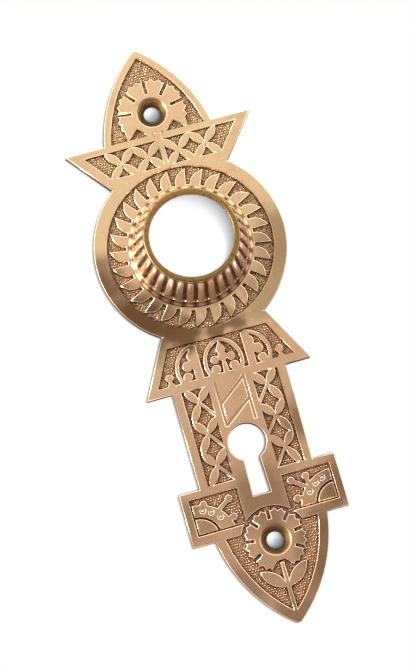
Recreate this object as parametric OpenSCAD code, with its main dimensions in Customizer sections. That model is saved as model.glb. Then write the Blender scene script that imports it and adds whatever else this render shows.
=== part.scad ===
// Door backplate: one flat casting with a fluted hollow boss for the knob's neck,
// a keyhole, two countersunk screw holes and carved panels on a matted ground.
// Lengths in mm. X runs across the plate to its right, Y up the door, Z out of the door.
// The origin is in the middle of the plate's length and width, on its flat back.

/* [Plate] */
// Thickness of the plate at its rims
plate_t = 2.6; // [2:0.1:5]
// Depth of the carved ground below the rims
relief_depth = 0.9; // [0.3:0.1:1.5]
// Depth of the lines cut into plain rims and panels
line_depth = 0.45; // [0.2:0.05:0.8]

/* [Disc and ring of blades] */
// Diameter of the round disc
disc_d = 49.2; // [44:0.2:60]
// Diameter of the sunk ring's outer lip
ring_d = 42.5; // [38:0.5:43]
// Diameter of the plain band at the foot of the boss
collar_d = 32.8; // [32.4:0.1:35]
// Number of blades in the ring
blade_count = 28; // [16:1:36]

/* [Knob boss] */
// Diameter of the hole for the knob's neck
bore_d = 21.2; // [16:0.2:22]
// Thickness of the lip along the hole
lip_t = 1.6; // [1:0.1:3]
// Radius of the lip's rounded shoulder
lip_round = 0.7; // [0.2:0.1:1]
// Height of the boss above the face of the plate
boss_h = 12.7; // [8:0.1:20]
// Diameter of the boss where it leaves the plate
boss_base_d = 31.8; // [30.6:0.1:32]
// Height of the hollow moulding at the foot of the boss
cove_h = 1.8; // [0.8:0.1:2.4]
// Diameter of the fluted flank above that moulding
flank_foot_d = 29.6; // [28.4:0.1:30]
// Diameter of the fluted flank under the lip
flank_head_d = 24.6; // [24.2:0.1:26]
// Thickness of the hollow boss's wall at the back of the plate
boss_wall = 1.6; // [0.8:0.1:2]
// Number of flutes round the boss
flute_count = 31; // [16:1:36]
// Width of a flute
flute_w = 1.25; // [0.5:0.05:1.4]
// Depth of a flute
flute_depth = 0.6; // [0.3:0.05:0.8]

/* [Head arch] */
// Width of the arch on the crossbar
head_w = 28.4; // [22:0.2:34]
// Height of the arch's full point above the crossbar
head_h = 23.2; // [18:0.2:30]
// Radius of each side of the arch
head_r = 39; // [30:0.5:60]
// Width of the arch's rim
head_rim = 1.8; // [1:0.1:3]
// Amount worn off the point of each arch
tip_blunt = 0.4; // [0.1:0.1:1]

/* [Crossbar] */
// Height of the crossbar's top edge above the middle of the disc
bar_y = 30.95; // [29:0.1:36]
// Width of the crossbar from tip to tip
bar_w = 49; // [40:0.5:60]
// Width of the crossbar where its slanted ends meet the disc
bar_foot_w = 30.6; // [26:0.2:36]
// Height of the crossbar's slanted ends
bar_h = 11.5; // [10:0.1:14]
// Width of the rim along the crossbar's top
bar_rim = 1.65; // [1:0.05:2.5]
// Height of the crossbar's carved panel
bar_panel_h = 7.1; // [5:0.1:7.4]
// Width of the rim at the slanted ends, along the bar
bar_end_rim = 3.1; // [1.5:0.1:4]

/* [Skirt under the disc] */
// Distance of the skirt's lower edge below the middle of the disc
skirt_y = 35.4; // [33:0.1:40]
// Width of the skirt's lower edge from tip to tip
skirt_w = 42.5; // [36:0.5:50]
// Width of the skirt where it meets the disc
skirt_neck_w = 27.1; // [22:0.2:30]
// Height of the skirt's slanted sides
skirt_h = 14.6; // [12:0.2:18]
// Width of the rim along the skirt's lower edge
skirt_rim = 2.1; // [1:0.1:3]
// Height of the skirt's carved panel
skirt_panel_h = 9.4; // [7:0.1:9.6]
// Width of the rim at the slanted sides, along the skirt
skirt_end_rim = 2.25; // [1:0.05:4]

/* [Columns and key panel] */
// Width of the part with the keyhole
shaft_w = 29.4; // [26:0.2:34]
// Length of the part with the keyhole, from the skirt to the boxes
shaft_h = 24.9; // [20:0.1:32]
// Width of the plain panel round the keyhole
key_panel_w = 11.5; // [10.6:0.1:14]
// Width of the rim outside each column
column_rim = 2.2; // [1:0.1:3]
// Gap between a column's carved panel and the edges above and below it
column_end_rim = 0.2; // [0:0.1:1]
// Diameter of the keyhole's round end
key_d = 9.6; // [7:0.1:10]
// Distance of the keyhole's middle below the middle of the disc
key_y = 51.8; // [50:0.1:56]
// Width of the key slot at its top
slot_top_w = 3.8; // [3:0.1:4.4]
// Width of the key slot at its foot
slot_foot_w = 4.6; // [3:0.1:5]
// Distance from the keyhole's middle to the foot of the slot
slot_len = 13.6; // [10:0.1:15]

/* [Corner boxes] */
// Width across both boxes
box_w = 40.2; // [34:0.2:46]
// Height of the boxes
box_h = 13.55; // [11:0.1:16]
// Width of the rim above and outside each carved box
box_rim = 1.9; // [1:0.05:3]
// Width of the rim under each carved box
box_foot_rim = 2.4; // [1.5:0.1:3.5]
// Gap between the flower in a box and the box's rims
box_gap = 0.4; // [0.2:0.05:0.8]

/* [Foot arch] */
// Width of the foot arch under the boxes
foot_w = 28.8; // [24:0.2:34]
// Length of the foot arch to its full point
foot_h = 24.8; // [20:0.2:32]
// Radius of each side of the foot arch
foot_r = 38.2; // [30:0.5:60]
// Width of the foot arch's rim
foot_rim = 2.5; // [1.5:0.1:3.5]

/* [Screws] */
// Diameter of the screw holes
screw_d = 4.2; // [3:0.1:5]
// Diameter of the countersinks
sink_d = 7.9; // [6:0.1:8.6]
// Distance of the upper screw above the middle of the disc
screw_up = 36.7; // [35.5:0.1:40]
// Distance between the two screws
screw_span = 113.8; // [108:0.1:118]

/* [Sunflowers] */
// Diameter of the upper sunflower over its teeth
head_flower_d = 18.2; // [14:0.1:18.6]
// Diameter of the lower sunflower over its teeth
foot_flower_d = 15.8; // [13:0.2:17]
// Number of petals that would go all round a sunflower
petal_count = 9; // [7:1:12]
// Depth of the teeth on the petals' ends
tooth_h = 0.7; // [0.3:0.1:1.5]
// Width of the slots between petals
petal_gap = 0.85; // [0.4:0.05:1.2]
// Plain width round each countersink, inside the petals' slots
flower_eye = 1.25; // [0.5:0.05:2]
// Width of the sunk margin round the lower sunflower
flower_margin = 0.6; // [0.3:0.1:1.2]

/* [Carving] */
// Thickness of a four-petal flower's petal
petal_w = 2.1; // [1:0.05:2.4]
// Width of the raised bars and stems
stem_w = 1; // [0.5:0.05:1.4]
// Width of the lines cut into the key panel
line_w = 0.65; // [0.3:0.05:1]
// Width of the bands in the skirt's arcade
band_w = 0.95; // [0.6:0.05:1.4]
// Radius of the trefoil's lobes and of the small knobs
lobe_r = 1.2; // [0.8:0.05:1.4]
// Radius of the curls on the flowers in the boxes
curl_r = 0.95; // [0.6:0.05:1.2]

/* [Hidden] */
$fn = 96;
over = plate_t / 4;
bronze = [0.72, 0.52, 0.38];
floor_z = plate_t - relief_depth;
line_z = plate_t - line_depth;

// Heights of the main levels, measured from the middle of the disc
disc_r = disc_d / 2;
head_tip = bar_y + head_h - tip_blunt;
box_top = skirt_y + shaft_h;
box_foot = box_top + box_h;
foot_tip = box_foot + foot_h - tip_blunt;
disc_y = (foot_tip - head_tip) / 2;
screw_down = screw_span - screw_up;
boss_top = plate_t + boss_h;

// A circle through both ends of a chord, by its radius: the distance of its centre
function drop(r, half) = sqrt(r * r - half * half);
// The side circle of a pointed arch: its centre, from half width, height and radius
function arch_c(w, h, r) = let (l = norm([w, h]), k = drop(r, l / 2))
    [w / 2 - k * h / l, h / 2 - k * w / l];
function polar(r, a) = [r * sin(a), r * cos(a)];

// Outlines

// A pointed arch standing on y = 0, its sides carried down to -below
module pointed_arch(w, h, r, rim, below) {
    c = arch_c(w / 2, h, r);
    intersection() {
        translate(c) circle(r = r - rim);
        translate([-c.x, c.y]) circle(r = r - rim);
        translate([-w, -below]) square([2 * w, h + below - tip_blunt]);
    }
}

// A flat piece with slanted ends, its wider edge at y = 0 and its narrower edge h away
module slanted(wide, narrow, h, from, to, rim) {
    slope = (wide - narrow) / 2 / h;
    a = wide / 2 - rim - slope * from;
    b = wide / 2 - rim - slope * to;
    polygon([[-a, -from], [a, -from], [b, -to], [-b, -to]]);
}

module crossbar_outline() {
    translate([0, bar_y]) slanted(bar_w, bar_foot_w, bar_h, 0, bar_h, 0);
}

module head_outline() {
    translate([0, bar_y]) pointed_arch(head_w, head_h, head_r, 0, bar_rim);
}

module skirt_outline() {
    translate([0, -skirt_y]) mirror([0, 1]) slanted(skirt_w, skirt_neck_w, skirt_h, 0, skirt_h, 0);
}

module shaft_outline() {
    translate([-shaft_w / 2, -box_top - box_rim]) square([shaft_w, shaft_h + box_rim + skirt_rim]);
}

module box_outline() {
    translate([-box_w / 2, -box_foot]) square([box_w, box_h]);
}

module foot_outline() {
    translate([0, -box_foot]) mirror([0, 1]) pointed_arch(foot_w, foot_h, foot_r, 0, box_foot_rim);
}

// Small carved forms

// Share by which carved forms run on into what carries them
run_on_share = 0.07;

// A pointed petal from a to b, w thick in the middle, running a little past b
module petal(a, b, w) {
    v = (b - a) * (1 + run_on_share);
    half = norm(v) / 2;
    r = (half * half + w * w / 4) / w;
    translate(a + v / 2) rotate(atan2(v.y, v.x)) intersection() {
        translate([0, r - w / 2]) circle(r = r);
        translate([0, w / 2 - r]) circle(r = r);
    }
}

// A straight bar from a to b, w wide
module strip(a, b, w) {
    v = b - a;
    translate(a) rotate(atan2(v.y, v.x)) translate([0, -w / 2]) square([norm(v), w]);
}

module bead(p, r) {
    translate(p) circle(r = r);
}

// Ring of blades, each a straight-backed leaf whose point leans to the next one.
// Shares of the blade pitch and of the ring's width, from the foot's left corner
blade_shares = [[0, -0.1], [0.02, 0.2], [0.11, 0.4], [0.26, 0.6], [0.45, 0.72], [0.73, 0.9], [0.73, -0.1]];
// Share of the pitch from straight above the middle to a blade's foot
blade_turn_share = 0.165;

module blade() {
    pitch = 360 / blade_count;
    polygon([for (s = blade_shares)
        polar((collar_d + (ring_d - collar_d) * s.y) / 2, pitch * (s.x + blade_turn_share))]);
}

module blade_ground() {
    difference() {
        circle(r = ring_d / 2);
        circle(r = collar_d / 2);
        for (i = [0 : blade_count - 1]) rotate(-360 / blade_count * i) blade();
    }
}

// Sunflower: a toothed disc with so many petals, slotted between them on each side of the top
petal_teeth = 3;

module toothed_disc(d, teeth) {
    polygon([for (i = [0 : 2 * teeth - 1])
        polar(d / 2 - (i % 2) * tooth_h, 180 / teeth * i)]);
}

module sunflower(d, slots_aside) {
    difference() {
        toothed_disc(d, petal_count * petal_teeth);
        for (i = [-slots_aside : slots_aside]) rotate(360 / petal_count * i)
            strip([0, sink_d / 2 + flower_eye], [0, d / 2 + tooth_h], petal_gap);
    }
}

// Head arch: a sunflower that stands on the crossbar, on a stem that runs down over it.
// Shares of the sunflower's radius and of its height over the bar: a three-cornered gap
gap_shares = [[0.19, -0.07], [0.53, 0.46], [0.9, -0.07]];
// Half width and height of the sunflower's foot, as the same shares
flower_foot_shares = [0.88, 0.5];

module head_gap() {
    lift = screw_up - bar_y;
    polygon([for (s = gap_shares) [head_flower_d / 2 * s.x, bar_y + lift * s.y]]);
}

module head_stem() {
    polygon([[-stem_w, bar_y + band_w], [stem_w, bar_y + band_w],
        [stem_w / 2, bar_y - bar_rim - bar_panel_h - over], [-stem_w / 2, bar_y - bar_rim - bar_panel_h - over]]);
}

module head_ground() {
    base_w = head_flower_d * flower_foot_shares.x;
    base_h = (screw_up - bar_y) * flower_foot_shares.y;
    difference() {
        translate([0, bar_y]) pointed_arch(head_w, head_h, head_r, head_rim, 0);
        difference() {
            union() {
                translate([0, screw_up]) sunflower(head_flower_d, 2);
                translate([-base_w / 2, bar_y - over]) square([base_w, base_h + over]);
            }
            for (m = [0, 1]) mirror([m, 0]) head_gap();
        }
        head_stem();
    }
}

// Crossbar: four flowers of four petals, two on each side of the stem
bar_pitch_share = 0.143;
// Share of the panel's height above the flowers' middles
bar_mid_share = 0.54;

module bar_ground() {
    mid = bar_y - bar_rim - bar_panel_h * bar_mid_share;
    reach = [bar_w * bar_pitch_share / 2, bar_panel_h / 2];
    difference() {
        translate([0, bar_y]) slanted(bar_w, bar_foot_w, bar_h, bar_rim,
            bar_rim + bar_panel_h, bar_end_rim);
        for (m = [0, 1]) mirror([m, 0]) for (i = [0, 1]) {
            c = [reach.x * (2 * i + 1) + stem_w / 2, mid];
            for (sx = [-1, 1]) for (sy = [-1, 1])
                petal(c, c + [reach.x * sx, reach.y * sy], petal_w);
            bead(c, petal_w / 4);
        }
        head_stem();
    }
}

// The stem's two edge lines across the rim between arch and crossbar
module stem_lines() {
    for (m = [0, 1]) mirror([m, 0])
        strip([stem_w + line_w / 4, bar_y + line_w / 2], [stem_w * 0.9 + line_w / 4, bar_y - bar_rim],
            line_w / 2);
}

// Skirt: a trefoil in a round-bellied arch, and half of such an arch at each side.
// Height of an arch's belly, as a share of its whole height
belly_share = 0.31;
// Half width of an arch, place of the side arches and of the knobs, as shares of the skirt's width
arch_share = 0.121;
side_share = 0.172;
knob_share = 0.338;
// Places in an arch: shares of its half width across, and of that above the belly
top_lobe_shares = [0, 0.61];
side_lobe_shares = [0.41, 0.17];
heart_shares = [0, 0.25];
curl_shares = [0.46, -0.31];
half_top_shares = [0.02, 0.66];
half_side_shares = [0.37, 0.2];
half_heart_shares = [0.15, 0.27];
half_curl_shares = [0.47, -0.31];
// Edges of the half arch's stem from its middle, as shares of its half width
half_stem_shares = [-0.29, 0.12];

// The outline of an arch that bellies out between its foot and its point
module belly_arch(w, up, down, rim) {
    r = (w * w + up * up) / 2 / w;
    intersection() {
        translate([w - r, 0]) circle(r = r - rim);
        translate([r - w, 0]) circle(r = r - rim);
        translate([-w, -down]) square([2 * w, down + up]);
    }
}

module arch_rim(w, up, down) {
    difference() {
        belly_arch(w, up, down, 0);
        belly_arch(w, up, down + over, band_w);
    }
}

// A ball that grows out of an arch's rim near its foot
module rim_curl(w, at, down) {
    bead(at, lobe_r);
    translate([at.x, -down]) square([w - band_w / 2 - at.x, lobe_r]);
}

module trefoil(w, up, down) {
    top = top_lobe_shares * w;
    bead(top, lobe_r);
    bead(heart_shares * w, lobe_r);
    for (m = [0, 1]) mirror([m, 0]) {
        bead(side_lobe_shares * w, lobe_r * 0.9);
        polygon([[-stem_w / 4, top.y], [lobe_r * 0.9, top.y + lobe_r / 3], [-stem_w / 4, up - band_w / 2]]);
    }
    polygon([[-stem_w / 2, 0], [stem_w / 2, 0], [stem_w * 0.8, -down], [-stem_w * 0.8, -down]]);
}

module half_motif(w, up, down) {
    stem = half_stem_shares * w;
    intersection() {
        translate([stem[0], -down]) square([2 * w, up + down]);
        union() {
            arch_rim(w, up, down);
            translate([stem[0] - over, -down]) square([stem[1] - stem[0] + over, down + up * 0.85]);
            bead(half_top_shares * w, lobe_r * 1.15);
            bead(half_heart_shares * w, lobe_r);
            bead(half_side_shares * w, lobe_r * 1.1);
            rim_curl(w, half_curl_shares * w, down);
        }
    }
}

module skirt_ground() {
    w = skirt_w * arch_share;
    whole = skirt_panel_h + over / 2;
    down = whole * belly_share;
    up = whole - down - relief_depth * 0.4;
    base = -skirt_y + skirt_rim - over / 2;
    difference() {
        translate([0, -skirt_y]) mirror([0, 1]) slanted(skirt_w, skirt_neck_w, skirt_h, skirt_rim,
            skirt_rim + skirt_panel_h, skirt_end_rim);
        translate([0, base + down]) {
            arch_rim(w, up, down);
            trefoil(w, up, down);
            for (m = [0, 1]) mirror([m, 0]) rim_curl(w * 0.9, curl_shares * w, down);
        }
        for (m = [0, 1]) mirror([m, 0]) {
            translate([skirt_w * side_share, base + down]) half_motif(w, up, down);
            translate([skirt_w * knob_share, base]) {
                bead([0, 2 * lobe_r], lobe_r * 0.85);
                polygon([[-lobe_r, 0], [lobe_r, 0], [lobe_r / 3, lobe_r], [lobe_r / 3, 2 * lobe_r],
                    [-lobe_r / 3, 2 * lobe_r], [-lobe_r / 3, lobe_r]]);
            }
        }
    }
}

// Columns: a chain of three flowers; each has three petals and one straight bar
chain_count = 3;
// Shares of the chain pitch above and below each flower's middle
chain_up_share = 0.44;

module column_ground() {
    inner = key_panel_w / 2;
    outer = shaft_w / 2 - column_rim;
    top = -skirt_y - column_end_rim;
    foot = -box_top + column_end_rim;
    pitch = (top - foot) / chain_count;
    mid = (inner + outer) / 2 - stem_w / 4;
    reach = outer - stem_w * 0.9;
    up = pitch * chain_up_share;
    down = pitch - up;
    difference() {
        translate([inner, foot]) square([outer - inner, top - foot]);
        for (i = [0 : chain_count - 1]) {
            c = [mid, top - up - pitch * i];
            petal(c, [inner, c.y + up], petal_w);
            petal(c, [reach, c.y + up], petal_w);
            petal(c, [reach, c.y - down], petal_w);
            strip(c, [inner - stem_w / 2, c.y - down], stem_w * 0.75);
            bead(c, petal_w / 4);
        }
    }
}

// Key panel: two cut uprights with two slanting lines between them
zigzag_share = 0.65;

module zigzag_lines() {
    x = key_panel_w / 2 * zigzag_share;
    top = -skirt_y;
    foot = -key_y + key_d / 2 + line_w / 2;
    h = (top - foot) / 2;
    for (m = [-1, 1]) strip([x * m, top + line_w / 2], [x * m, foot], line_w);
    for (i = [0, 1]) strip([x, top - h * i], [-x, top - h * (i + 1)], line_w);
}

// Keyhole: a round end and a slot that widens to its foot
module keyhole() {
    translate([0, -key_y]) {
        circle(d = key_d);
        polygon([[-slot_top_w / 2, 0], [slot_top_w / 2, 0],
            [slot_foot_w / 2, -slot_len], [-slot_foot_w / 2, -slot_len]]);
    }
}

// Corner boxes: a flower in profile growing from the lower outer corner.
// Radii as shares of the carved box's width, and how far their middle is under the corner
eye_share = 0.4;
eye_drop_share = 0.12;
body_share = 0.77;
body_drop_share = 0.24;
// Curls of the right and the left flower: shares of the carved box's width and height
right_curl_shares = [[0.53, 0.81], [0.84, 0.79], [0.81, 0.28]];
left_curl_shares = [[0.27, 0.8], [0.79, 0.78], [0.79, 0.28]];
// Points inside the body where their stems start, as the same shares
right_root_shares = [[0.5, 0.5], [0.5, 0.45], [0.45, 0.26]];
left_root_shares = [[0.3, 0.5], [0.45, 0.48], [0.45, 0.26]];
// Ringed dots: angle and distance from the body's middle as a share of its radius
dot_angles = [17, 32, 50];
dot_share = 0.85;

module corner_flower(w, h, curls, roots) {
    eye = [box_gap, box_gap - h * eye_drop_share];
    body = [box_gap, box_gap - h * body_drop_share];
    intersection() {
        translate([box_gap, box_gap]) square([w, h - 2 * box_gap]);
        union() {
            translate(eye) circle(r = w * eye_share);
            difference() {
                union() {
                    translate(body) circle(r = w * body_share);
                    for (i = [0 : len(curls) - 1]) {
                        tip = [w * curls[i].x, h * curls[i].y];
                        bead(tip, curl_r);
                        strip([w * roots[i].x, h * roots[i].y], tip, stem_w);
                    }
                }
                translate(eye) circle(r = w * eye_share + petal_gap * 0.65);
            }
        }
    }
}

module box_place() {
    x = box_w / 2 - box_rim;
    translate([x, -box_foot + box_foot_rim]) mirror([1, 0]) children();
}

module box_ground(curls, roots) {
    w = box_w / 2 - box_rim - key_panel_w / 2;
    h = box_h - box_rim - box_foot_rim;
    box_place() difference() {
        square([w, h]);
        corner_flower(w, h, curls, roots);
    }
}

module box_dots() {
    w = box_w / 2 - box_rim - key_panel_w / 2;
    h = box_h - box_rim - box_foot_rim;
    body = [box_gap, box_gap - h * body_drop_share];
    box_place() for (a = dot_angles) difference() {
        bead(body + polar(w * body_share * dot_share, a), line_w);
        bead(body + polar(w * body_share * dot_share, a), line_w / 2);
    }
}

// Foot arch: a sunflower with a stem and two leaves
// Leaf root and leaf point: shares of the arch's width across and of the stem's length down
leaf_shares = [[0.004, 0.37], [0.195, 0]];

// Share of the sunflower's width that the gap round the stem takes at the petals' ends, on each side
stem_gap_share = 0.23;

module foot_ground() {
    y = -screw_down;
    stem_top = y - foot_flower_d / 2 + tooth_h;
    stem_foot = -box_foot - foot_h + foot_rim / 2;
    stem_len = stem_top - stem_foot;
    difference() {
        union() {
            translate([0, -box_foot]) mirror([0, 1]) pointed_arch(foot_w, foot_h, foot_r, foot_rim, 0);
            translate([0, y]) circle(r = foot_flower_d / 2 + flower_margin);
        }
        difference() {
            translate([0, y]) sunflower(foot_flower_d, 3);
            for (m = [0, 1]) mirror([m, 0]) polygon([
                [-over, y - foot_flower_d], [-over, y - sink_d / 2 - flower_eye],
                [stem_w, y - sink_d / 2 - flower_eye],
                [foot_flower_d * stem_gap_share, y - foot_flower_d / 2],
                [foot_flower_d * stem_gap_share, y - foot_flower_d]]);
        }
        translate([-stem_w / 2, stem_foot - foot_rim]) square([stem_w, stem_len + foot_rim + tooth_h * 2]);
        for (m = [0, 1]) mirror([m, 0])
            petal([foot_w * leaf_shares[0].x, stem_top - stem_len * leaf_shares[0].y],
                [foot_w * leaf_shares[1].x, stem_top - stem_len * leaf_shares[1].y], petal_w * 1.45);
    }
}

// Solids

// Cuts a flat ground into the face of the plate, down to the height z
module sink_to(z) {
    translate([0, 0, z]) linear_extrude(plate_t - z + over) children();
}

module screw_hole(y) {
    translate([0, y, -over]) cylinder(h = plate_t + 2 * over, d = screw_d);
    sink_h = (sink_d - screw_d) / 2;
    translate([0, y, plate_t - sink_h])
        cylinder(h = sink_h + over, d1 = screw_d, d2 = sink_d + 2 * over);
}

module blank() {
    cylinder(h = plate_t, r = disc_r);
    linear_extrude(plate_t) crossbar_outline();
    linear_extrude(plate_t) head_outline();
    linear_extrude(plate_t) skirt_outline();
    linear_extrude(plate_t) shaft_outline();
    linear_extrude(plate_t) box_outline();
    linear_extrude(plate_t) foot_outline();
}

module carved_plate() {
    difference() {
        blank();
        sink_to(floor_z) blade_ground();
        sink_to(floor_z) head_ground();
        sink_to(floor_z) bar_ground();
        sink_to(floor_z) skirt_ground();
        for (m = [0, 1]) mirror([m, 0, 0]) {
            sink_to(floor_z) column_ground();
            sink_to(line_z) box_dots();
        }
        sink_to(floor_z) box_ground(right_curl_shares, right_root_shares);
        mirror([1, 0, 0]) sink_to(floor_z) box_ground(left_curl_shares, left_root_shares);
        sink_to(floor_z) foot_ground();
        sink_to(line_z) zigzag_lines();
        sink_to(line_z) stem_lines();
        translate([0, 0, -over]) linear_extrude(plate_t + 2 * over) keyhole();
        screw_hole(screw_up);
        screw_hole(-screw_down);
    }
}

// Radius of the fluted flank at the height z
function flank_r(z) = let (foot = plate_t + cove_h, head = boss_top - lip_round)
    (flank_foot_d + (flank_head_d - flank_foot_d) * (z - foot) / (head - foot)) / 2;

// The hollow moulding: an arc from the plate's face up to the flank
cove_step = 15;

module boss_core() {
    g = (boss_base_d - flank_foot_d) / 2;
    k = (cove_h * cove_h - g * g) / 2 / g;
    start = atan2(k, cove_h);
    cove = [for (a = [start : cove_step : 90 - cove_step / 2])
        [boss_base_d / 2 + k - (g + k) * sin(a), plate_t + cove_h - (g + k) * cos(a)]];
    shoulder = [for (a = [0 : cove_step * 2 : 90]) [flank_head_d / 2 - lip_round * (1 - cos(a)),
        boss_top - lip_round * (1 - sin(a))]];
    rotate_extrude() polygon(concat([[0, 0], [boss_base_d / 2, 0]], cove,
        [[flank_foot_d / 2, plate_t + cove_h]], shoulder, [[0, boss_top]]));
}

// One flute: a round-bottomed groove up the flank with round ends
module flute() {
    sink = flute_depth - flute_w / 2;
    low = plate_t + cove_h + flute_w / 2;
    high = boss_top - lip_round;
    foot = [flank_r(low) - sink, low];
    head = [flank_r(high) - sink, high];
    v = head - foot;
    translate([0, foot.x, foot.y]) {
        rotate([-atan2(v.x, v.y), 0, 0]) cylinder(h = norm(v), d = flute_w * 0.9);
        sphere(d = flute_w);
    }
    translate([0, head.x, head.y]) sphere(d = flute_w);
}

// Share of the pitch from straight above the middle to a flute
flute_turn_share = 0.43;

module boss() {
    pitch = 360 / flute_count;
    difference() {
        boss_core();
        for (i = [0 : flute_count - 1]) rotate(-pitch * (i + flute_turn_share)) flute();
    }
}

module boss_hollow() {
    back = boss_base_d / 2 - boss_wall;
    front = boss_top - lip_t;
    translate([0, 0, -over]) cylinder(h = boss_top + 2 * over, d = bore_d);
    translate([0, 0, -over]) cylinder(h = front + over, r1 = back + over * (back - bore_d / 2) / front,
        r2 = bore_d / 2);
}

module backplate() {
    color(bronze) translate([0, disc_y, 0]) difference() {
        union() {
            carved_plate();
            boss();
        }
        boss_hollow();
    }
}

backplate();
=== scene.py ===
"""Door backplate in cast bronze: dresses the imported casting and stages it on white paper."""
import logging
import math
import random
from dataclasses import dataclass, field
from enum import Enum
from typing import Any

import bmesh
import bpy
from mathutils import Matrix, Vector
from mathutils.bvhtree import BVHTree
from mathutils.geometry import intersect_point_line


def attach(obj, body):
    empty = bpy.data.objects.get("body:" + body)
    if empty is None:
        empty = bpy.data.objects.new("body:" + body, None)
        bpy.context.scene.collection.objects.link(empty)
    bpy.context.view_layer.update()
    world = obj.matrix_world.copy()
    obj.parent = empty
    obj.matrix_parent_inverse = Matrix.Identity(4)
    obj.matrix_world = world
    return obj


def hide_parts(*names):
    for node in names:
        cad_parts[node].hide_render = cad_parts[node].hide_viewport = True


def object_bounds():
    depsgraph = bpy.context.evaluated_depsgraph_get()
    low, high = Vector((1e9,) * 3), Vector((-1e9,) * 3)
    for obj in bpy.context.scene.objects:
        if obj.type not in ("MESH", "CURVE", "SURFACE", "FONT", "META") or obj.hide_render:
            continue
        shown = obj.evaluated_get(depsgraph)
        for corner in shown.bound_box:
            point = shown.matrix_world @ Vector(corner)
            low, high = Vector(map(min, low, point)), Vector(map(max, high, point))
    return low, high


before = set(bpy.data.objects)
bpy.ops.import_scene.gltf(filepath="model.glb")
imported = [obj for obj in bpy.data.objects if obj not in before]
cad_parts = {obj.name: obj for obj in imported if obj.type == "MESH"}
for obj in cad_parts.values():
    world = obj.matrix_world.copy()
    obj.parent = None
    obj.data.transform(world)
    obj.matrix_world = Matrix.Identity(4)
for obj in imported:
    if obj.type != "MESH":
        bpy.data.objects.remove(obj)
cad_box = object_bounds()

log = logging.getLogger("backplate")
MM = 0.001


class Level(Enum):
    """Heights of the casting's flat levels, in metres over its back."""

    GROUND = 1.7 * MM
    LINE = 2.15 * MM
    FACE = 2.6 * MM
    LIP = 15.3 * MM


class Side(Enum):
    """Kinds of edge on the casting."""

    OUTLINE = "between the face and a wall that goes right through"
    CARVED = "between the face and a wall of the carving"
    CUT = "between the face and a wall of a shallow cut line"
    LIP = "round the mouth of the boss"
    OTHER = "any other"


def srgb(code: str) -> tuple[float, float, float, float]:
    """Turns an sRGB hex colour into the linear colour that a shader reads.

    Args:
        code: Colour as six hex digits, such as "c99a6f".

    Returns:
        Linear red, green, blue and an alpha of one.
    """
    parts = [int(code[i:i + 2], 16) / 255 for i in (0, 2, 4)]
    linear = [c / 12.92 if c <= 0.04045 else ((c + 0.055) / 1.055) ** 2.4 for c in parts]
    return (*linear, 1.0)


def add(tree: bpy.types.NodeTree, kind: str, links: dict[Any, Any] | None = None,
        inputs: dict[Any, Any] | None = None, **settings: Any) -> bpy.types.Node:
    """Adds a node, with its settings, input values and links.

    Args:
        tree: Node tree that the node joins.
        kind: Node type without its common prefix, such as "TexNoise".
        links: Input name or number to the output socket that feeds it.
        inputs: Input name or number to its value.
        settings: Attributes of the node itself.

    Returns:
        The new node.
    """
    node = tree.nodes.new("ShaderNode" + kind)
    for name, value in settings.items():
        setattr(node, name, value)
    for name, value in (inputs or {}).items():
        node.inputs[name].default_value = value
    for name, socket in (links or {}).items():
        tree.links.new(socket, node.inputs[name])
    return node


def new_material(name: str) -> tuple[bpy.types.Material, bpy.types.NodeTree, bpy.types.Node]:
    """Makes an empty node material.

    Args:
        name: Name of the material.

    Returns:
        The material, its node tree and its output node.
    """
    material = bpy.data.materials.new(name)
    material.use_nodes = True
    tree = material.node_tree
    tree.nodes.clear()
    return material, tree, add(tree, "OutputMaterial")


@dataclass(frozen=True)
class Blotch:
    """One cloudy tone on the metal: the size of its noise and how strongly it shows.

    The noise value low gives no tone, and high gives the full share.
    """

    size: float
    detail: float
    roughness: float
    low: float
    high: float
    share: float


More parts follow.
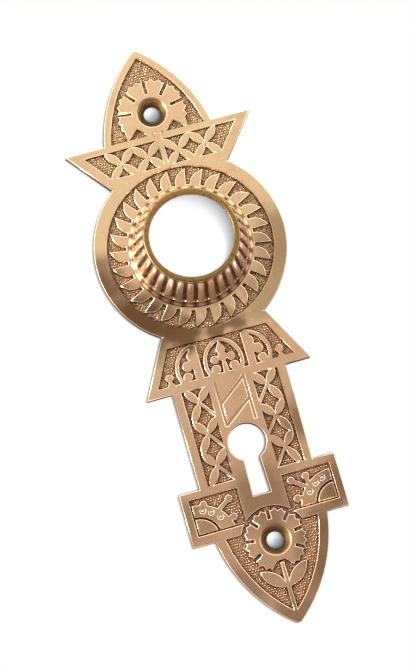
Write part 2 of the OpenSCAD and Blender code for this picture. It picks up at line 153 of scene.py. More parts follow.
@dataclass(frozen=True)
class CastBronze:
    """Sand-cast bronze, hand-scratched and rubbed bright, with old brown dirt in the ground and painted light and
    shade.

    Rubbing leaves the rims pale and glossy with fine scratches, and the edges palest of all, with a painted highlight;
    the carving keeps a dull brown. Painted shade, with dirt, darkens the corners by the walls and the boss's flutes and
    foot; painted shade darkens the countersinks and the cove on the boss's lower side, and a painted sheen lightens the
    boss's flank. Pairs of numbers give where an effect starts and where it is full.
    """

    bright: str = "e2c092"
    rosy: str = "d8a886"
    tarnish: str = "6a4a2e"
    # dark brown for real dirt in the ground and cut lines, and for painted shade in corners, flutes, foot and cove
    dirt_and_shade: str = "4a2611"
    olive: str = "8c6c3b"
    # olive-brown tone of the countersinks, darkened with painted shade
    sink_tone_and_shade: str = "624a26"
    skin: str = "20160f"
    # pale rose laid on the boss's flank as a painted sheen
    flank: str = "f0d6c0"
    # pale colour of worn edges: wear and a painted highlight
    rubbed_highlight: str = "ffe4c4"
    verdigris: str = "8fa090"
    roughness: float = 0.18
    cloud_roughness: float = 0.25
    dirt_roughness: float = 0.2
    rubbed_roughness: float = -0.1
    rosy_blotch: Blotch = Blotch(22 * MM, 3.0, 0.5, 0.35, 0.65, 0.5)
    clouds: Blotch = Blotch(5 * MM, 6.0, 0.65, 0.5, 0.75, 0.25)
    specks: Blotch = Blotch(0.5 * MM, 3.0, 0.5, 0.5, 0.75, 0.12)
    speck_patches: tuple[float, float] = (0.3, 0.6)
    lip_specks: tuple[float, float] = (0.4, 0.65)
    scratch: Blotch = Blotch(0.25 * MM, 4.0, 0.7, 0.25, 0.45, 0.15)
    scratch_stretch: float = 0.03
    scratch_turns: tuple[float, float] = (25.0, -50.0)
    rosy_low: tuple[float, float] = (20 * MM, -40 * MM)
    rosy_low_share: float = 0.7
    shake_size: float = 6 * MM
    shake_detail: float = 4.0
    shake_reach: float = 9 * MM
    patches: tuple[tuple[float, float, float, float], ...] = (
        (-18.0 * MM, 6.0 * MM, 9.0 * MM, 0.97), (-25.0 * MM, 19.0 * MM, 6.5 * MM, 0.85),
        (-8.5 * MM, 1.0 * MM, 4.5 * MM, 0.9), (0.0 * MM, -0.3 * MM, 3.0 * MM, 0.8),
        (5.5 * MM, 0.5 * MM, 3.2 * MM, 0.8), (23.5 * MM, 18.0 * MM, 8.0 * MM, 0.5),
        (16.0 * MM, 6.0 * MM, 7.0 * MM, 0.4), (14.8 * MM, -28.0 * MM, 5.5 * MM, 0.6),
        (19.5 * MM, -45.0 * MM, 6.0 * MM, 0.65), (-19.5 * MM, -45.0 * MM, 5.0 * MM, 0.4),
        (0.0 * MM, -44.0 * MM, 8.0 * MM, 0.5), (12.0 * MM, -60.0 * MM, 7.0 * MM, 0.6),
        (-12.0 * MM, -64.0 * MM, 5.5 * MM, 0.4), (0.0 * MM, -75.0 * MM, 6.0 * MM, 0.45),
        (13.0 * MM, -52.0 * MM, 4.0 * MM, 0.4), (7.5 * MM, -67.5 * MM, 4.0 * MM, 0.4))
    spots: tuple[tuple[float, float, float], ...] = (
        (-2.0 * MM, 67.4 * MM, 0.7 * MM), (-8.7 * MM, -46.1 * MM, 0.6 * MM), (3.9 * MM, -50.1 * MM, 0.6 * MM),
        (-15.0 * MM, -42.6 * MM, 0.5 * MM), (-6.7 * MM, -50.9 * MM, 0.5 * MM))
    spot_share: float = 0.5
    disc_y: float = 22.25 * MM
    lip_r: float = 12.6 * MM
    lip_z: tuple[float, float] = (14.5 * MM, 14.9 * MM)
    lip_share: float = 0.9
    lip_speck_share: float = 0.5
    sink_r: float = 4.1 * MM
    sink_z: tuple[float, float] = (2.6 * MM, 2.4 * MM)
    sink_tone_and_shade_share: float = 0.9
    screws_y: tuple[float, float] = (58.95 * MM, -54.85 * MM)
    boss_r: float = 16.1 * MM
    # where the painted sheen on the boss's flank lies
    flank_sheen_z: tuple[float, float] = (2.6 * MM, 4.0 * MM)
    flank_sheen_share: float = 0.8
    flank_low: tuple[float, float] = (14.8 * MM, 4.4 * MM)
    flank_high: tuple[float, float] = (12.3 * MM, 14.6 * MM)
    # dirt and painted shade deep in the boss's flutes
    flute_dirt_shade_share: float = 0.9
    flute_depth: tuple[tuple[float, float], ...] = ((0.05 * MM, 0.35 * MM), (1.0 * MM, 0.8 * MM))
    flute_z: tuple[tuple[float, float], ...] = ((14.7 * MM, 14.4 * MM), (4.0 * MM, 4.6 * MM))
    flute_sector: tuple[float, float] = (0.4, 0.05)
    flute_count: int = 31
    flute_turn: float = 0.43
    ground_z: tuple[float, float] = (1.92 * MM, 1.73 * MM)
    ground_share: float = 0.65
    # painted shade, with some dirt, in the corners at the walls' feet, found by ambient occlusion
    corner_dirt_shade_reach: float = 0.8 * MM
    corner_dirt_shade_open: tuple[float, float] = (0.85, 0.45)
    corner_dirt_shade_z: tuple[float, float] = (2.1 * MM, 1.9 * MM)
    corner_dirt_shade_share: float = 0.95
    line_z: tuple[tuple[float, float], ...] = ((2.35 * MM, 2.25 * MM), (2.02 * MM, 2.1 * MM))
    line_share: float = 0.2
    # painted shade in the cove round the boss's foot, growing toward its lower side
    cove_shade_z: tuple[tuple[float, float], ...] = ((4.5 * MM, 3.6 * MM), (2.6 * MM, 2.7 * MM))
    cove_shade_y: tuple[float, float] = (22.25 * MM, 10.25 * MM)
    cove_shade_share: float = 0.7
    # dirt and painted shade at the boss's foot, under each flute
    foot_dirt_shade_z: tuple[tuple[float, float], ...] = ((4.8 * MM, 4.2 * MM), (2.6 * MM, 2.65 * MM))
    foot_dirt_shade_share: float = 0.9
    soft: float = 0.3 * MM
    sink_soft: float = 0.4 * MM
    sink_rim: tuple[float, float] = (4.6 * MM, 4.8 * MM)
    skin_share: float = 0.95
    worn_r: float = 0.1 * MM
    scratch_relief: tuple[float, float] = (0.35, 0.02 * MM)
    speck_relief: tuple[float, float] = (0.3, 0.05 * MM)

    def ramp(self, tree: bpy.types.NodeTree, value: Any, low: float, high: float) -> Any:
        """Turns a value into 0 at low and 1 at high.

        Args:
            tree: Node tree of the material.
            value: Output socket with the value.
            low: Value that gives 0.
            high: Value that gives 1.

        Returns:
            The output socket.
        """
        node = add(tree, "MapRange", {"Value": value}, {"From Min": low, "From Max": high},
                   interpolation_type="SMOOTHSTEP")
        return node.outputs["Result"]

    def times(self, tree: bpy.types.NodeTree, *values: Any) -> Any:
        """Multiplies values.

        Args:
            tree: Node tree of the material.
            values: Two or more output sockets or numbers.

        Returns:
            The output socket of their product.
        """
        product = values[0]
        for value in values[1:]:
            node = add(tree, "Math", operation="MULTIPLY")
            for i, part in enumerate((product, value)):
                if isinstance(part, bpy.types.NodeSocket):
                    tree.links.new(part, node.inputs[i])
                else:
                    node.inputs[i].default_value = part
            product = node.outputs[0]
        return product

    def tint(self, tree: bpy.types.NodeTree, colour: Any, factor: Any, share: float, tone: str) -> Any:
        """Lays a tone over a colour.

        Args:
            tree: Node tree of the material.
            colour: Output socket or hex colour that lies below.
            factor: Output socket that gives where the tone lies.
            share: How much of the tone is laid where the factor is 1.
            tone: Hex colour of the tone.

        Returns:
            The output socket with the mixed colour.
        """
        node = add(tree, "Mix", {"Factor": self.times(tree, factor, share)}, data_type="RGBA")
        if isinstance(colour, bpy.types.NodeSocket):
            tree.links.new(colour, node.inputs["A"])
        else:
            node.inputs["A"].default_value = srgb(colour)
        node.inputs["B"].default_value = srgb(tone)
        return node.outputs["Result"]

    def noise(self, tree: bpy.types.NodeTree, place: Any, kind: Blotch) -> Any:
        """Gives the raw noise of one blotch.

        Args:
            tree: Node tree of the material.
            place: Object coordinate.
            kind: Blotch whose size, detail and roughness are used.

        Returns:
            The output socket.
        """
        return add(tree, "TexNoise", {"Vector": place}, {"Scale": 1 / kind.size, "Detail": kind.detail,
                                                         "Roughness": kind.roughness}).outputs["Fac"]

    def reach(self, tree: bpy.types.NodeTree, place: Any, x: float, y: float) -> Any:
        """Gives the distance from an upright axis.

        Args:
            tree: Node tree of the material.
            place: Object coordinate.
            x: Place of the axis across the plate.
            y: Place of the axis up the plate.

        Returns:
            The output socket.
        """
        flat = add(tree, "VectorMath", {0: place}, {1: (1, 1, 0)}, operation="MULTIPLY").outputs[0]
        return add(tree, "VectorMath", {0: flat}, {1: (x, y, 0)}, operation="DISTANCE").outputs["Value"]

    def near(self, tree: bpy.types.NodeTree, place: Any, x: float, y: float, radius: float, soft: float) -> Any:
        """Gives 1 inside an upright round column and 0 outside it.

        Args:
            tree: Node tree of the material.
            place: Object coordinate.
            x: Place of the column's axis across the plate.
            y: Place of the column's axis up the plate.
            radius: Radius of the column.
            soft: Width of its soft edge.

        Returns:
            The output socket.
        """
        return self.ramp(tree, self.reach(tree, place, x, y), radius + soft / 2, radius - soft / 2)

    def scratches(self, tree: bpy.types.NodeTree, place: Any, turn: float) -> Any:
        """Gives fine straight scratches that run one way.

        Args:
            tree: Node tree of the material.
            place: Object coordinate.
            turn: Direction of the scratches in degrees.

        Returns:
            The output socket of their height.
        """
        turned = add(tree, "Mapping", {"Vector": place},
                     {"Rotation": (0, 0, math.radians(turn)), "Scale": (1, self.scratch_stretch, 1)})
        return self.noise(tree, turned.outputs[0], self.scratch)

    def in_flutes(self, tree: bpy.types.NodeTree, place: Any, height: Any) -> Any:
        """Gives 1 deep in the boss's flutes and 0 on its flank and beyond its ends.

        Args:
            tree: Node tree of the material.
            place: Object coordinate.
            height: Its height over the casting's back.

        Returns:
            The output socket.
        """
        (low_r, low_z), (high_r, high_z) = self.flank_low, self.flank_high
        slope = (high_r - low_r) / (high_z - low_z)
        flank = add(tree, "Math", {0: height}, {1: slope, 2: low_r - slope * low_z},
                    operation="MULTIPLY_ADD").outputs[0]
        reach = self.reach(tree, place, 0, self.disc_y)
        depth = add(tree, "Math", {0: flank, 1: reach}, operation="SUBTRACT").outputs[0]
        return self.times(tree, *(self.ramp(tree, depth, *ends) for ends in self.flute_depth),
                          *(self.ramp(tree, height, *ends) for ends in self.flute_z))

    def under_flutes(self, tree: bpy.types.NodeTree, axes: bpy.types.Node) -> Any:
        """Gives 1 in a narrow sector under each flute of the boss and 0 under its ribs.

        Args:
            tree: Node tree of the material.
            axes: Node that splits the object coordinate.

        Returns:
            The output socket.
        """
        up = add(tree, "Math", {0: axes.outputs["Y"]}, {1: self.disc_y}, operation="SUBTRACT").outputs[0]
        turn = add(tree, "Math", {0: axes.outputs["X"], 1: up}, operation="ARCTAN2").outputs[0]
        count = add(tree, "Math", {0: turn}, {1: self.flute_count / math.tau, 2: -self.flute_turn},
                    operation="MULTIPLY_ADD").outputs[0]
        away = add(tree, "Math", {0: count}, {1: 0.5}, operation="PINGPONG").outputs[0]
        return self.ramp(tree, away, *self.flute_sector)

    def face_tone(self, tree: bpy.types.NodeTree, place: Any, axes: bpy.types.Node, specks: Any, clouds: Any,
                  lines: Any) -> Any:
        """Colours the clean metal: bright and rosy bronze, tarnish patches, olive lip, and countersinks in an
        olive-brown tone darkened with painted shade.

        Args:
            tree: Node tree of the material.
            place: Object coordinate.
            axes: Node that splits the object coordinate.
            specks: Noise of the specks.
            clouds: Noise of the clouds.
            lines: Height of the scratches.

        Returns:
            The output socket with the colour.
        """
        height = axes.outputs["Z"]
        rosy = self.ramp(tree, self.noise(tree, place, self.rosy_blotch), self.rosy_blotch.low, self.rosy_blotch.high)
        tone = self.tint(tree, self.bright, rosy, self.rosy_blotch.share, self.rosy)
        tone = self.tint(tree, tone, self.ramp(tree, axes.outputs["Y"], *self.rosy_low), self.rosy_low_share, self.rosy)
        for noise, kind in ((clouds, self.clouds), (lines, self.scratch), (specks, self.specks)):
            tone = self.tint(tree, tone, self.ramp(tree, noise, kind.low, kind.high), kind.share, self.tarnish)
        shaken = add(tree, "TexNoise", {"Vector": place},
                     {"Scale": 1 / self.shake_size, "Detail": self.shake_detail}).outputs["Color"]
        shaken = add(tree, "VectorMath", {0: shaken}, {1: (0.5, 0.5, 0.5)}, operation="SUBTRACT").outputs[0]
        shaken = add(tree, "VectorMath", {0: shaken, 2: place}, {1: (self.shake_reach, self.shake_reach, 0)},
                     operation="MULTIPLY_ADD").outputs[0]
        on_face = self.ramp(tree, height, Level.GROUND.value, Level.FACE.value)
        for x, y, radius, share in self.patches:
            patch = self.times(tree, self.near(tree, shaken, x, y, radius, radius), on_face)
            tone = self.tint(tree, tone, patch, share, self.tarnish)
        lip = self.times(tree, self.near(tree, place, 0, self.disc_y, self.lip_r, self.soft),
                         self.ramp(tree, height, *self.lip_z))
        tone = self.tint(tree, tone, lip, self.lip_share, self.olive)
        tone = self.tint(tree, tone, self.times(tree, lip, self.ramp(tree, specks, *self.lip_specks)),
                         self.lip_speck_share, self.tarnish)
        # countersinks: olive-brown tone with painted shade
        for y in self.screws_y:
            sunk = self.times(tree, self.near(tree, place, 0, y, self.sink_r, self.sink_soft),
                              self.ramp(tree, height, *self.sink_z))
            tone = self.tint(tree, tone, sunk, self.sink_tone_and_shade_share, self.sink_tone_and_shade)
        return tone

    def dirty_and_shaded(self, tree: bpy.types.NodeTree, tone: Any, place: Any, axes: bpy.types.Node, low: Any) -> Any:
        """Lays old dirt in the ground and the cut lines; painted shade, with some dirt, in the corners by the walls,
        deep in the boss's flutes and at its foot under each flute; painted shade in the cove on the boss's lower side;
        and a painted sheen on the boss's flank.

        Args:
            tree: Node tree of the material.
            tone: Colour of the clean metal.
            place: Object coordinate.
            axes: Node that splits the object coordinate.
            low: Factor that is 1 between the grains at the ground.

        Returns:
            The output socket with the colour.
        """
        height = axes.outputs["Z"]
        on_boss = self.near(tree, place, 0, self.disc_y, self.boss_r, self.soft)
        # painted sheen: the boss's flank is lightened to pale rose
        flank = self.times(tree, on_boss, self.ramp(tree, height, *self.flank_sheen_z),
                           self.ramp(tree, height, *reversed(self.lip_z)))
        colour = self.tint(tree, tone, flank, self.flank_sheen_share, self.flank)
        colour = self.tint(tree, colour, low, self.ground_share, self.dirt_and_shade)
        # painted shade, with some dirt, where ambient occlusion finds a corner at the walls' feet
        open_share = add(tree, "AmbientOcclusion", inputs={"Distance": self.corner_dirt_shade_reach}, samples=8, only_local=True)
        corner = self.times(tree, self.ramp(tree, open_share.outputs["AO"], *self.corner_dirt_shade_open),
                            self.ramp(tree, height, *self.corner_dirt_shade_z))
        colour = self.tint(tree, colour, corner, self.corner_dirt_shade_share, self.dirt_and_shade)
        line = self.times(tree, *(self.ramp(tree, height, *ends) for ends in self.line_z))
        colour = self.tint(tree, colour, line, self.line_share, self.dirt_and_shade)
        # painted shade in the cove, strongest on the boss's lower side
        cove_shade = self.times(tree, on_boss, *(self.ramp(tree, height, *ends) for ends in self.cove_shade_z),
                          self.ramp(tree, axes.outputs["Y"], *self.cove_shade_y))
        colour = self.tint(tree, colour, cove_shade, self.cove_shade_share, self.dirt_and_shade)
        # dirt and painted shade at the boss's foot, in a sector under each flute
        foot = self.times(tree, on_boss, *(self.ramp(tree, height, *ends) for ends in self.foot_dirt_shade_z),
                          self.under_flutes(tree, axes))
        colour = self.tint(tree, colour, foot, self.foot_dirt_shade_share, self.dirt_and_shade)
        # dirt and painted shade deep in the flutes
        return self.tint(tree, colour, self.in_flutes(tree, place, height), self.flute_dirt_shade_share, self.dirt_and_shade)

    def build(self) -> bpy.types.Material:
        """Builds the material.

        Returns:
            The material.
        """
        material, tree, output = new_material("cast bronze, rubbed bright")
        place = add(tree, "TexCoord").outputs["Object"]
        axes = add(tree, "SeparateXYZ", {"Vector": place})
        clouds, specks = (self.noise(tree, place, kind) for kind in (self.clouds, self.specks))
        lines = self.times(tree, *(self.scratches(tree, place, turn) for turn in self.scratch_turns))
        low = self.times(tree, self.ramp(tree, axes.outputs["Z"], *self.ground_z),
                         self.ramp(tree, specks, *self.speck_patches))
        colour = self.dirty_and_shaded(tree, self.face_tone(tree, place, axes, specks, clouds, lines), place, axes, low)
        skin = add(tree, "Attribute", attribute_name="outer_wall").outputs["Fac"]
        colour = self.tint(tree, colour, skin, self.skin_share, self.skin)
        # worn edges lightened almost to white: wear and a painted highlight
        rubbed_highlight = add(tree, "Attribute", attribute_name="rubbed_edge_highlight").outputs["Fac"]
        for y in self.screws_y:
            rubbed_highlight = self.times(tree, rubbed_highlight, self.ramp(tree, self.reach(tree, place, 0, y), *self.sink_rim))
        colour = self.tint(tree, colour, rubbed_highlight, 1.0, self.rubbed_highlight)
        for x, y, radius in self.spots:
            colour = self.tint(tree, colour, self.near(tree, place, x, y, radius, radius), self.spot_share,
                               self.verdigris)
        rough = self.roughness
        for factor, share in ((clouds, self.cloud_roughness), (low, self.dirt_roughness),
                              (rubbed_highlight, self.rubbed_roughness)):
            node = add(tree, "Math", {0: factor}, {1: share}, operation="MULTIPLY_ADD")
            if isinstance(rough, bpy.types.NodeSocket):
                tree.links.new(rough, node.inputs[2])
            else:
                node.inputs[2].default_value = rough
            rough = node.outputs[0]
        rough = add(tree, "Math", {0: skin, 1: rough}, operation="MAXIMUM").outputs[0]
        bare = add(tree, "Math", {1: skin}, {0: 1.0}, operation="SUBTRACT").outputs[0]
        normal = add(tree, "Bevel", inputs={"Radius": self.worn_r}, samples=4).outputs[0]
        for relief, strength, depth in ((lines, *self.scratch_relief), (specks, *self.speck_relief)):
            normal = add(tree, "Bump", {"Height": relief, "Normal": normal},
                         {"Strength": strength, "Distance": depth}).outputs[0]
        shader = add(tree, "BsdfPrincipled", {"Base Color": colour, "Roughness": rough, "Normal": normal,
                                              "Metallic": bare})
        tree.links.new(shader.outputs["BSDF"], output.inputs["Surface"])
        return material


@dataclass
class Grain:
    """The matted ground: rows of small round grains that the ground is punched into.

    Lengths are in metres.
    """

    pitch: float = 0.68 * MM
    radius: float = 0.31 * MM
    height: float = 0.26 * MM
    jitter: float = 0.13 * MM
    clear: float = 0.3 * MM
    widths: tuple[float, float] = (0.75, 1.15)
    ovals: tuple[float, float] = (0.8, 1.1)
    heights: tuple[float, float] = (0.7, 1.1)
    level_slack: float = 0.02 * MM
    batch: int = 60
    seed: int = 7

    def places(self, ground: BVHTree) -> list[Vector]:
        """Finds the grains' places: a shaken grid over the ground, clear of its walls.

        Args:
            ground: The casting's shape.

        Returns:
            Points on the ground.
        """
        luck = random.Random(self.seed)
        low, high = (Vector(corner) for corner in cad_box)
        found = []
        rows = int((high.y - low.y) / self.pitch)
        columns = int((high.x - low.x) / self.pitch)
        for row in range(rows):
            for column in range(columns):
                x = low.x + (column + 0.5 * (row % 2)) * self.pitch + luck.uniform(-1, 1) * self.jitter
                y = low.y + row * self.pitch + luck.uniform(-1, 1) * self.jitter
                if self.is_clear(ground, x, y):
                    found.append(Vector((x, y, Level.GROUND.value)))
        return found

    def is_clear(self, ground: BVHTree, x: float, y: float) -> bool:
        """Tells whether a grain stands on the ground and off the walls.

        Args:
            ground: The casting's shape.
            x: Place of the grain across the plate.
            y: Place of the grain up the plate.

        Returns:
            True when the grain and its surroundings are all ground.
        """
        for dx, dy in ((0, 0), (1, 0), (-1, 0), (0, 1), (0, -1)):
            start = Vector((x + dx * self.clear, y + dy * self.clear, 2 * Level.LIP.value))
            hit = ground.ray_cast(start, Vector((0, 0, -1)))[0]
            if hit is None or abs(hit.z - Level.GROUND.value) > self.level_slack:
                return False
        return True

    def fill(self, shape: bmesh.types.BMesh, ground: BVHTree) -> int:
        """Adds every grain to a shape, one batch at a time.

        Args:
            shape: Shape that gets the grains.
            ground: The casting's shape, for finding the ground.

        Returns:
            Number of grains.
        """
        luck = random.Random(self.seed + 1)
        spots = self.places(ground)
        for first in range(0, len(spots), self.batch):
            some = bmesh.new()
            for spot in spots[first:first + self.batch]:
                size = self.radius * luck.uniform(*self.widths)
                form = Matrix.Diagonal((size, size * luck.uniform(*self.ovals),
                                        self.height * luck.uniform(*self.heights), 1))
                turn = Matrix.Rotation(luck.uniform(0, math.tau), 4, "Z")
                bmesh.ops.create_icosphere(some, subdivisions=1, radius=1,
                                           matrix=Matrix.Translation(spot) @ turn @ form)
            mesh = bpy.data.meshes.new("some grains")
            some.to_mesh(mesh)
            some.free()
            shape.from_mesh(mesh)
            bpy.data.meshes.remove(mesh)
        return len(spots)


@dataclass
class Backplate:
    """The casting: a copy of the frame's solid with its edges worn round and its ground matted.

    Lengths are in metres.
    """

    node: str = "backplate"
    weld: float = 0.001 * MM
    sliver: float = 0.03 * MM
    flat_angle: float = math.radians(0.5)
    sharp_angle: float = math.radians(50)
    wear: dict[Side, float] = field(default_factory=lambda: {
        Side.OUTLINE: 0.22 * MM, Side.CARVED: 0.19 * MM, Side.CUT: 0.2 * MM, Side.LIP: 0.2 * MM})
    # share of the pale worn-edge colour for each kind of edge: wear and a painted highlight
    rubbed_highlight: dict[Side, float] = field(default_factory=lambda: {
        Side.OUTLINE: 0.2, Side.CARVED: 0.6, Side.CUT: 0.8, Side.LIP: 0.0})
    level_slack: float = 0.01 * MM
    wall_slope: float = 0.8
    flat_slope: float = 0.9995
    low_slope: float = 0.3
    fold_slope: float = -0.1
    edge_reach: float = 0.31 * MM
    boss_r: float = 16.3 * MM
    boss_y: float = 22.25 * MM
    shy_reach: float = 0.25 * MM
    smallest_fold: float = 0.003 * MM * MM
    tries: int = 6
    grain: Grain = field(default_factory=Grain)

    def copy_casting(self) -> bmesh.types.BMesh:
        """Copies the frame's mesh, welds its loose triangles and joins the flat ones.

        Returns:
            The copy.
        """
        shape = bmesh.new()
        shape.from_mesh(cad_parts[self.node].data)
        bmesh.ops.remove_doubles(shape, verts=shape.verts, dist=self.weld)
        bmesh.ops.dissolve_degenerate(shape, dist=self.sliver, edges=shape.edges)
        bmesh.ops.dissolve_limit(shape, angle_limit=self.flat_angle, verts=shape.verts, edges=shape.edges,
                                 delimit={"NORMAL"})
        return shape

    def on_boss(self, point: Vector) -> bool:
        """Tells whether a point is on the boss or inside it.

        Args:
            point: Any point.

        Returns:
            True when it is inside the boss's widest circle.
        """
        return math.hypot(point.x, point.y - self.boss_y) < self.boss_r

    def side_of(self, edge: bmesh.types.BMEdge) -> Side:
        """Tells which kind of edge an edge of the casting is.

        Args:
            edge: Any edge of the casting.

        Returns:
            The edge's kind, by how deep the wall under it goes.
        """
        if len(edge.link_faces) != 2 or not edge.is_convex:
            return Side.OTHER
        walls = [f for f in edge.link_faces if abs(f.normal.z) < self.wall_slope]
        if len(walls) != 1:
            return Side.OTHER
        if all(abs(v.co.z - Level.LIP.value) < self.level_slack for v in edge.verts):
            return Side.LIP
        if any(abs(v.co.z - Level.FACE.value) > self.level_slack for v in edge.verts):
            return Side.OTHER
        foot = min(v.co.z for v in walls[0].verts)
        if foot < Level.GROUND.value / 2:
            return Side.OUTLINE
        return Side.CARVED if foot < Level.LINE.value - self.level_slack else Side.CUT

    def find_folds(self, shape: bmesh.types.BMesh) -> list[Vector]:
        """Finds where a rounded edge has folded over itself.

        Args:
            shape: The casting with rounded edges, its large faces cut into triangles.

        Returns:
            Corners of the turned-over triangles on the plate's front.
        """
        over = [f for f in shape.faces if f.normal.z < self.fold_slope and not self.on_boss(f.calc_center_median())
                and f.calc_center_median().z > Level.GROUND.value + self.level_slack
                and f.calc_area() > self.smallest_fold]
        return [v.co.copy() for f in over for v in f.verts]

    def is_near(self, edge: bmesh.types.BMEdge, point: Vector) -> bool:
        """Tells whether an edge passes close by a point.

        Args:
            edge: Any edge.
            point: Any point.

        Returns:
            True when the edge comes closer than shy_reach.
        """
        a, b = (v.co for v in edge.verts)
        foot, share = intersect_point_line(point, a, b)
        closest = a if share < 0 else b if share > 1 else foot
        return (closest - point).length < self.shy_reach

    def round_edges(self) -> bmesh.types.BMesh:
        """Rounds the edges of the face; edges where the rounding would fold over itself stay sharp.

        Returns:
            The casting with rounded edges, which carry how rubbed they are, that is how much painted highlight they
            get.
        """
        shy: list[Vector] = []
        for attempt in range(self.tries):
            shape = self.copy_casting()
            rubbed_highlight = shape.faces.layers.float.new("rubbed_edge_highlight")
            left = 0
            for side, width in self.wear.items():
                kind = [e for e in shape.edges if self.side_of(e) is side]
                edges = [e for e in kind if not any(self.is_near(e, corner) for corner in shy)]
                left += len(kind) - len(edges)
                made = bmesh.ops.bevel(shape, geom=edges, offset=width, offset_type="OFFSET", affect="EDGES",
                                       segments=2, profile=0.5, material=-1, clamp_overlap=False, loop_slide=True)
                for face in made["faces"]:
                    # the new rounded faces carry their share of painted highlight
                    face[rubbed_highlight] = self.rubbed_highlight[side]
            bmesh.ops.triangulate(shape, faces=[f for f in shape.faces if len(f.verts) > 4])
            shape.normal_update()
            folds = self.find_folds(shape)
            log.info("attempt %d: %d folded corners, %d edges left sharp", attempt + 1, len(folds), left)
            if not folds:
                break
            shy += folds
        return shape

    def even_normals(self, mesh: bpy.types.Mesh) -> None:
        """Lets the rounded edges run smoothly into faces that stay flat.

        Args:
            mesh: The dressed casting's mesh, whose corner normals are set.
        """
        mesh.set_sharp_from_angle(angle=self.sharp_angle)
        normals = [corner.vector.copy() for corner in mesh.corner_normals]
        flat = {i for face in mesh.polygons if face.normal.z > self.flat_slope for i in face.vertices}
        for face in mesh.polygons:
            heights = [mesh.vertices[i].co.z for i in face.vertices]
            low_edge = face.normal.z > self.low_slope and max(heights) - min(heights) < self.edge_reach
            if face.normal.z > self.flat_slope or low_edge:
                for loop in face.loop_indices:
                    if mesh.loops[loop].vertex_index in flat:
                        normals[loop] = Vector((0, 0, 1))
            elif face.normal.z < -self.flat_slope:
                for loop in face.loop_indices:
                    normals[loop] = Vector((0, 0, -1))
        mesh.normals_split_custom_set(normals)

    def mark_walls(self, mesh: bpy.types.Mesh) -> None:
        """Marks the walls that go right through, which keep their dark skin from the mould.

        Args:
            mesh: The dressed casting's mesh, which gets the attribute outer_wall.
        """
        walls = []
        for face in mesh.polygons:
            foot = min(mesh.vertices[i].co.z for i in face.vertices)
            walls.append(float(abs(face.normal.z) < self.low_slope and foot < Level.GROUND.value / 2))
        mesh.attributes.new("outer_wall", "FLOAT", "FACE").data.foreach_set("value", walls)

    def build(self, finish: bpy.types.Material) -> bpy.types.Object:
        """Builds the dressed casting.

        Args:
            finish: Material of the whole casting.

        Returns:
            The finished piece.
        """
        bare = self.copy_casting()
        ground = BVHTree.FromBMesh(bare)
        bare.free()
        shape = self.round_edges()
        grains = self.grain.fill(shape, ground)
        shape.normal_update()
        for face in shape.faces:
            face.smooth = True
        mesh = bpy.data.meshes.new("cast_backplate")
        shape.to_mesh(mesh)
        shape.free()
        self.even_normals(mesh)
        self.mark_walls(mesh)
        mesh.materials.append(finish)
        piece = bpy.data.objects.new("cast_backplate", mesh)
        bpy.context.scene.collection.objects.link(piece)
        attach(piece, "root")
        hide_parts(self.node)
        log.info("%s: %d faces, %d grains", piece.name, len(mesh.polygons), grains)
        return piece


@dataclass
class Paper:
    """Matt white paper that the plate lies on, with the plate's soft shadow toward the upper left.

    The camera sees the paper at strength 1 where nothing stands between it and the light.
    """

    width: float = 4.0
    gap: float = 0.05 * MM
    white: str = "f4f4f4"
    shadow: str = "70797f"
    light_way: tuple[float, float, float] = (0.52, -0.78, 0.35)
    holes: tuple[tuple[float, float, float], ...] = (
        (22.25 * MM, 14.5 * MM, 5.4 * MM), (58.95 * MM, 3 * MM, 2.6 * MM), (-54.85 * MM, 3 * MM, 2.6 * MM))
    near_reach: float = 0.7 * MM
    open_ends: tuple[float, float] = (0.5, 0.95)
    samples: int = 16

    def shade(self, tree: bpy.types.NodeTree) -> Any:
        """Gives the paper's colour as the camera sees it.

        Args:
            tree: Node tree of the material.

        Returns:
            The output socket, white in the open and grey close beside the plate and deep in its holes.
        """
        place = add(tree, "TexCoord").outputs["Object"]
        way = add(tree, "CombineXYZ", inputs=dict(enumerate(self.light_way))).outputs[0]
        open_share = add(tree, "AmbientOcclusion", {"Normal": way}, {"Distance": self.near_reach},
                         samples=self.samples)
        light = open_share.outputs["AO"]
        for y, radius, reach in self.holes:
            away = add(tree, "VectorMath", {0: place}, {1: (0, y, 0)}, operation="DISTANCE").outputs["Value"]
            inside = add(tree, "Math", {0: away}, {1: radius}, operation="LESS_THAN").outputs[0]
            deep = add(tree, "AmbientOcclusion", {"Normal": way}, {"Distance": reach},
                       samples=self.samples).outputs["AO"]
            light = add(tree, "Mix", {"Factor": inside, "A": light, "B": deep}).outputs[0]
        light = add(tree, "MapRange", {"Value": light},
                    dict(zip(("From Min", "From Max"), self.open_ends))).outputs[0]
        tone = add(tree, "Mix", {"Factor": light}, data_type="RGBA")
        tone.inputs["A"].default_value = srgb(self.shadow)
        tone.inputs["B"].default_value = srgb("ffffff")
        return tone.outputs["Result"]

    def build(self) -> bpy.types.Object:
        """Builds the sheet.

        Returns:
            The sheet.
        """
        sheet = bmesh.new()
        bmesh.ops.create_grid(sheet, x_segments=1, y_segments=1, size=self.width / 2,
                              matrix=Matrix.Translation((0, 0, -self.gap)))
        mesh = bpy.data.meshes.new("paper")
        sheet.to_mesh(mesh)
        sheet.free()
        material, tree, output = new_material("matt white paper")
        seen = add(tree, "LightPath").outputs["Is Camera Ray"]
        diffuse = add(tree, "BsdfDiffuse", inputs={"Color": srgb(self.white)})
        glow = add(tree, "Emission", {"Color": self.shade(tree)}, {"Strength": 1.0})
        both = add(tree, "MixShader", {0: seen, 1: diffuse.outputs[0], 2: glow.outputs[0]})
        tree.links.new(both.outputs[0], output.inputs["Surface"])
        mesh.materials.append(material)
        piece = bpy.data.objects.new("paper", mesh)
        bpy.context.scene.collection.objects.link(piece)
        return piece


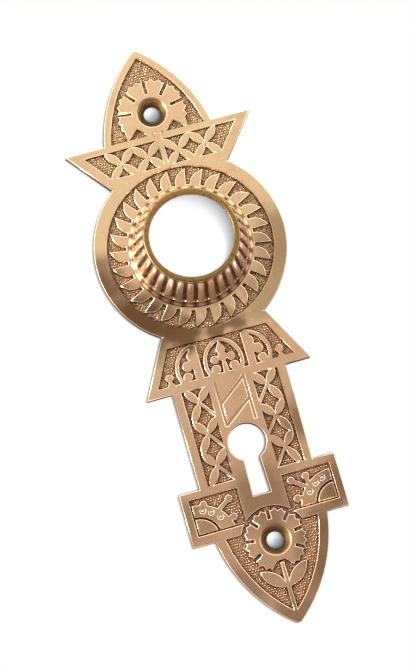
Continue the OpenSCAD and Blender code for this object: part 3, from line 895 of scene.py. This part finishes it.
@dataclass
class Studio:
    """Camera, softboxes and surrounding light."""

    stand: Vector = Vector((-41.13, -87.24, 497.4)) * MM
    aim: Vector = Vector((-2.295, -0.987, 2.6)) * MM
    roll: float = math.radians(16.134)
    focal_px: float = 2000.0
    photo_px: tuple[int, int] = (414, 671)
    sensor: float = 36.0
    clip: tuple[float, float] = (0.01, 20)
    box_place: Vector = Vector((-0.8, 0.1, 0.5))
    box_size: float = 0.3
    box_power: float = 12.0
    north_way: tuple[float, float] = (-0.1, 0.4)
    north_light: tuple[float, float] = (0.18, 1.44)
    side_way: tuple[float, float] = (0.85, 0.4)
    side_light: float = 3.5
    south_way: tuple[float, float] = (-0.1, -0.6)
    south_share: float = 0.45

    def place_camera(self) -> None:
        """Places the camera where the photograph was taken from."""
        data = bpy.data.cameras.new("camera")
        data.sensor_fit = "VERTICAL"
        data.sensor_height = self.sensor
        data.sensor_width = self.sensor
        data.lens = self.focal_px / self.photo_px[1] * self.sensor
        data.clip_start, data.clip_end = self.clip
        camera = bpy.data.objects.new("camera", data)
        forward = (self.aim - self.stand).normalized()
        right = forward.cross(Vector((0, 1, 0))).normalized()
        upright = Matrix((right, right.cross(forward), -forward)).transposed().to_4x4()
        camera.matrix_world = Matrix.Translation(self.stand) @ upright @ Matrix.Rotation(-self.roll, 4, "Z")
        bpy.context.scene.collection.objects.link(camera)
        bpy.context.scene.camera = camera

    def place_softbox(self) -> None:
        """Places a square softbox in the west that faces the plate."""
        data = bpy.data.lights.new("west softbox", "AREA")
        data.size = self.box_size
        data.energy = self.box_power
        lamp = bpy.data.objects.new("west softbox", data)
        turn = (-self.box_place).to_track_quat("-Z", "Y").to_matrix().to_4x4()
        lamp.matrix_world = Matrix.Translation(self.box_place) @ turn
        bpy.context.scene.collection.objects.link(lamp)

    def fill_world(self) -> None:
        """Fills the room with soft white light: dim overhead and behind the camera, bright all round."""
        world = bpy.data.worlds.new("room")
        bpy.context.scene.world = world
        world.use_nodes = True
        tree = world.node_tree
        tree.nodes.clear()
        way = add(tree, "SeparateXYZ", {"Vector": add(tree, "TexCoord").outputs["Generated"]}).outputs
        ends = ("From Min", "From Max", "To Min", "To Max")
        north = add(tree, "MapRange", {"Value": way["Y"]}, dict(zip(ends, (*self.north_way, *self.north_light))))
        side = add(tree, "MapRange", {"Value": way["Z"]}, dict(zip(ends, (*self.side_way, 0.0, self.side_light))),
                   interpolation_type="SMOOTHSTEP")
        south = add(tree, "MapRange", {"Value": way["Y"]}, dict(zip(ends, (*self.south_way, 1.0, self.south_share))))
        side = add(tree, "Math", {0: side.outputs[0], 1: south.outputs[0]}, operation="MULTIPLY")
        light = add(tree, "Math", {0: north.outputs[0], 1: side.outputs[0]}, operation="MAXIMUM")
        sky = add(tree, "Background", {"Strength": light.outputs[0]}, {"Color": srgb("ffffff")})
        output = add(tree, "OutputWorld")
        tree.links.new(sky.outputs[0], output.inputs["Surface"])

    def build(self) -> None:
        """Builds the camera and every light."""
        self.place_camera()
        self.place_softbox()
        self.fill_world()
        bpy.context.scene.view_settings.view_transform = "Standard"


def main() -> None:
    """Builds the studio, the paper and the casting."""
    logging.basicConfig(level=logging.INFO, format="%(name)s: %(message)s")
    Studio().build()
    Paper().build()
    Backplate().build(CastBronze().build())


if __name__ == "__main__":
    main()
